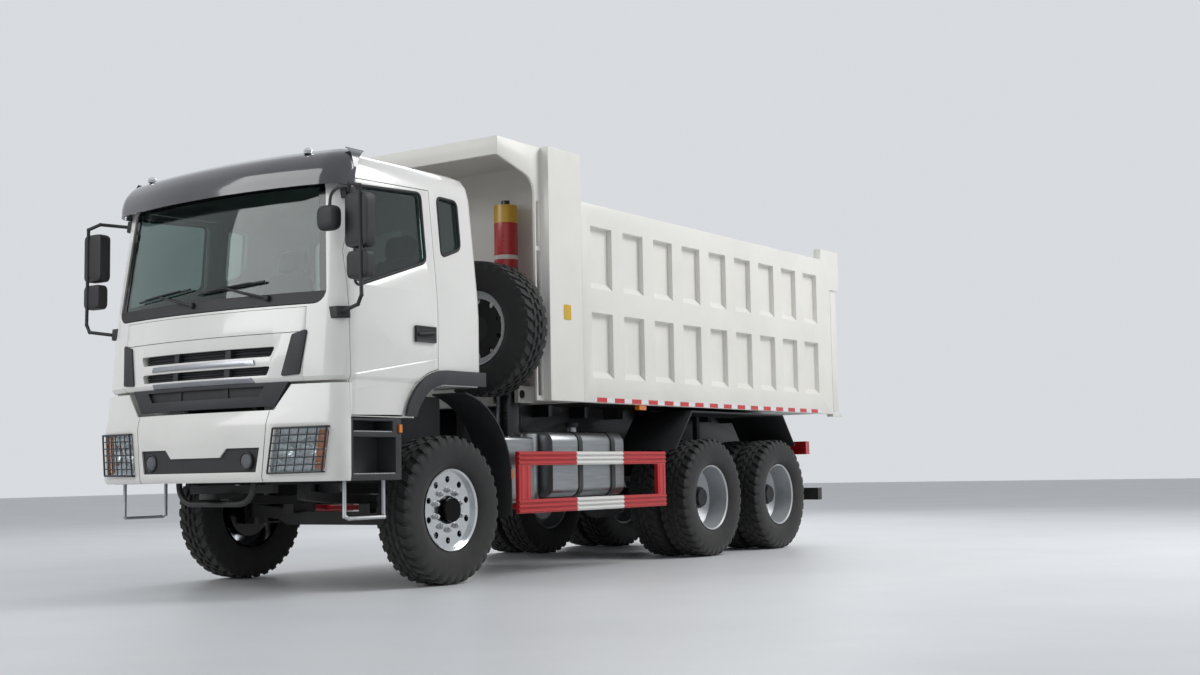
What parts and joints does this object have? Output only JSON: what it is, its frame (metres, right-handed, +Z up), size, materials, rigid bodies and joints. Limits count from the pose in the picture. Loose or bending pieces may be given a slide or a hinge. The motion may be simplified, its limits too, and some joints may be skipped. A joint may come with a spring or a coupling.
{
  "type": "dump truck",
  "caption": "White cab-over dump truck with ribbed steel bed, front telescopic hoist, spare wheel behind the cab, red and white side guards and twin rear wheels.",
  "frame": {"origin": "middle of the overall box on the ground", "axes": "+Z up, -Y is the truck's front, +X its left side"},
  "size_m": [2.93, 7.95, 3.42],
  "materials": {
    "white_paint": "gloss",
    "black_paint": "satin",
    "red_paint": "gloss",
    "black_plastic": "matte",
    "grey_plastic": "matte",
    "smoked_visor": "gloss",
    "lamp_lens": "clear",
    "red_lens": "gloss",
    "glass": "clear",
    "tyre_rubber": "matte",
    "polished_alloy": "polished",
    "silver_wheel": "satin",
    "brushed_tank": "brushed",
    "bare_steel": "worn",
    "chromed_rod": "polished",
    "bright_bar": "satin",
    "cast_iron": "rough"
  },
  "bodies": {
    "chassis": {"frame_rails": "black_paint", "cross_members": "black_paint", "front_axle": "black_paint", "rear_bogie": "black_paint", "driveline": "cast_iron", "brackets": "black_paint", "front_bumper": "white_paint", "head_lamps": "lamp_lens", "rear_lamps": "red_lens", "lamp_guards": "black_paint", "bumper_grille": "black_plastic", "step_boxes": "grey_plastic", "stirrups": "bare_steel", "mudguards": "black_plastic", "chassis_tanks": "brushed_tank", "tank_straps": "black_paint", "side_guards": "red_paint", "spare_tyre": "tyre_rubber", "spare_wheel": "polished_alloy"},
    "knuckle_left": {"knuckle_left": "black_paint"},
    "knuckle_right": {"knuckle_right": "black_paint"},
    "wheel_front_left": {"front_tyre_left": "tyre_rubber", "front_wheel_left": "polished_alloy"},
    "wheel_front_right": {"front_tyre_right": "tyre_rubber", "front_wheel_right": "polished_alloy"},
    "wheel_rear_left_1": {"rear_tyres_left_1": "tyre_rubber", "rear_wheels_left_1": "silver_wheel"},
    "wheel_rear_right_1": {"rear_tyres_right_1": "tyre_rubber", "rear_wheels_right_1": "silver_wheel"},
    "wheel_rear_left_2": {"rear_tyres_left_2": "tyre_rubber", "rear_wheels_left_2": "silver_wheel"},
    "wheel_rear_right_2": {"rear_tyres_right_2": "tyre_rubber", "rear_wheels_right_2": "silver_wheel"},
    "cab": {"cab_shell": "white_paint", "cab_front": "white_paint", "grille_bars": "bright_bar", "cab_trim": "grey_plastic", "windscreen": "glass", "cab_glass": "glass", "visor": "smoked_visor", "mirrors": "black_plastic", "dashboard": "grey_plastic", "seats": "black_plastic"},
    "door_left": {"door_left": "white_paint", "door_glass_left": "glass"},
    "door_right": {"door_right": "white_paint", "door_glass_right": "glass"},
    "bed": {"bed_floor": "white_paint", "bed_side_left": "white_paint", "bed_side_right": "white_paint", "headboard": "white_paint"},
    "tailgate": {"tailgate": "white_paint"},
    "lift_barrel": {"lift_barrel": "red_paint"},
    "lift_stage_1": {"lift_stage_1": "chromed_rod"},
    "lift_stage_2": {"lift_stage_2": "chromed_rod"},
    "lift_rod": {"lift_rod": "chromed_rod"}
  },
  "joints": [
    {"name": "steer_left", "type": "hinge", "parent": "chassis", "child": "knuckle_left", "pos_m": [0.86, -2.575, 0.542], "axis": [0, 0, 1], "range_deg": [-38, 38]},
    {"name": "steer_right", "type": "hinge", "parent": "chassis", "child": "knuckle_right", "pos_m": [-0.86, -2.575, 0.542], "axis": [0, 0, 1], "range_deg": [-38, 38]},
    {"name": "spin_front_left", "type": "hinge", "parent": "knuckle_left", "child": "wheel_front_left", "pos_m": [1.04, -2.575, 0.542], "axis": [1, 0, 0], "continuous": true},
    {"name": "spin_front_right", "type": "hinge", "parent": "knuckle_right", "child": "wheel_front_right", "pos_m": [-1.04, -2.575, 0.542], "axis": [1, 0, 0], "continuous": true},
    {"name": "spin_rear_left_1", "type": "hinge", "parent": "chassis", "child": "wheel_rear_left_1", "pos_m": [0.9325, 1.125, 0.542], "axis": [1, 0, 0], "continuous": true},
    {"name": "spin_rear_right_1", "type": "hinge", "parent": "chassis", "child": "wheel_rear_right_1", "pos_m": [-0.9325, 1.125, 0.542], "axis": [1, 0, 0], "continuous": true},
    {"name": "spin_rear_left_2", "type": "hinge", "parent": "chassis", "child": "wheel_rear_left_2", "pos_m": [0.9325, 2.475, 0.542], "axis": [1, 0, 0], "continuous": true},
    {"name": "spin_rear_right_2", "type": "hinge", "parent": "chassis", "child": "wheel_rear_right_2", "pos_m": [-0.9325, 2.475, 0.542], "axis": [1, 0, 0], "continuous": true},
    {"name": "cab_tilt", "type": "hinge", "parent": "chassis", "child": "cab", "pos_m": [0, -3.84, 1.38], "axis": [1, 0, 0], "range_deg": [0, 50]},
    {"name": "door_left_swing", "type": "hinge", "parent": "cab", "child": "door_left", "pos_m": [1.215, -3.675, 2], "axis": [0, 0, -1], "range_deg": [0, 70]},
    {"name": "door_right_swing", "type": "hinge", "parent": "cab", "child": "door_right", "pos_m": [-1.215, -3.675, 2], "axis": [0, 0, 1], "range_deg": [0, 70]},
    {"name": "bed_tip", "type": "hinge", "parent": "chassis", "child": "bed", "pos_m": [0, 3.445, 1.15], "axis": [-1, 0, 0], "range_deg": [0, 50]},
    {"name": "tailgate_swing", "type": "hinge", "parent": "bed", "child": "tailgate", "pos_m": [0, 3.91, 3.085], "axis": [1, 0, 0], "range_deg": [0, 60]},
    {"name": "lift_swing", "type": "hinge", "parent": "bed", "child": "lift_barrel", "pos_m": [0.58, -1.135, 1.45], "axis": [1, 0, 0], "range_deg": [0, 24.94]},
    {"name": "lift_slide_1", "type": "slide", "parent": "lift_barrel", "child": "lift_stage_1", "axis": [0, 0, -1], "range_m": [0, 1.285]},
    {"name": "lift_slide_2", "type": "slide", "parent": "lift_stage_1", "child": "lift_stage_2", "axis": [0, 0, -1], "range_m": [0, 1.285]},
    {"name": "lift_slide_3", "type": "slide", "parent": "lift_stage_2", "child": "lift_rod", "axis": [0, 0, -1], "range_m": [0, 1.285]}
  ],
  "couplings": [
    {"joint": "steer_right", "follows": "steer_left", "ratio": 1},
    {"joint": "lift_swing", "follows": "bed_tip", "ratio": 0.4888},
    {"joint": "lift_slide_1", "follows": "bed_tip", "m_per_rad": 1.4609},
    {"joint": "lift_slide_2", "follows": "bed_tip", "m_per_rad": 1.4609},
    {"joint": "lift_slide_3", "follows": "bed_tip", "m_per_rad": 1.4609}
  ]
}
